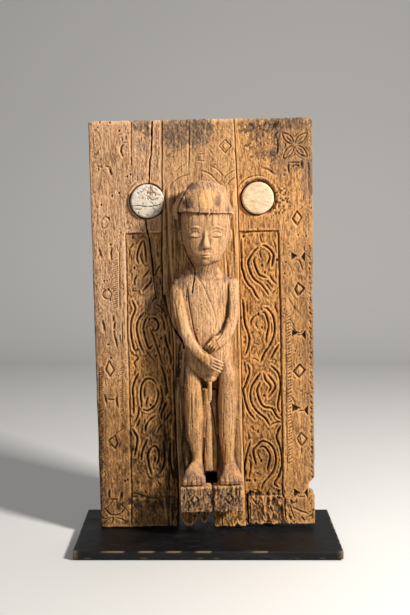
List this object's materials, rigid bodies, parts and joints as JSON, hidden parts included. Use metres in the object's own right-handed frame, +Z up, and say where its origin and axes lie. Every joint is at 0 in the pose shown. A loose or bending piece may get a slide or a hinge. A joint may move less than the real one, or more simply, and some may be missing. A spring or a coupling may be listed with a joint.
{
  "type": "carved tomb door",
  "caption": "Carved wooden tomb door with a standing figure in high relief, scroll borders and pale round inlays, which lifts off the posts of a black display base.",
  "frame": {"origin": "middle of the base's footprint, on the plane of its pads", "axes": "+Z up, +X to the viewer's right, -Y out of the carved face towards the viewer"},
  "size_m": [0.535, 0.265, 0.8747],
  "materials": {
    "side_plank_wood": "old hand-carved hardwood, dry and worn, with grey weathered patches",
    "middle_plank_wood": "old hand-carved hardwood, darker in the shade of the relief",
    "figure_wood": "old hand-carved hardwood, rubbed smooth, with fine cracks",
    "batten_wood": "rough sawn hardwood",
    "peg_wood": "plain round pegs",
    "white_disc": "chalky white with brown stains",
    "black_base": "black paint, scuffed pale along its front edge",
    "pad_rubber": "matt",
    "black_steel": "black powder coat",
    "screw_steel": "plain steel"
  },
  "bodies": {
    "stand": {"base_plate": "black_base", "base_pads": "pad_rubber", "left_post": "black_steel", "right_post": "black_steel", "left_flange": "black_steel", "right_flange": "black_steel", "flange_screws": "screw_steel"},
    "door": {"left_plank": "side_plank_wood", "centre_plank": "middle_plank_wood", "right_plank": "side_plank_wood", "left_seam_dowels": "peg_wood", "right_seam_dowels": "peg_wood", "standing_figure": "figure_wood", "pedestal": "figure_wood", "left_disc": "white_disc", "right_disc": "white_disc", "upper_batten": "batten_wood", "lower_batten": "batten_wood", "upper_batten_pegs": "peg_wood", "lower_batten_pegs": "peg_wood", "left_sleeve": "black_steel", "right_sleeve": "black_steel", "sleeve_screws": "screw_steel"}
  },
  "joints": [
    {"name": "door_lift", "type": "slide", "parent": "stand", "child": "door", "axis": [0, 0, 1], "range_m": [0, 0.1]}
  ]
}
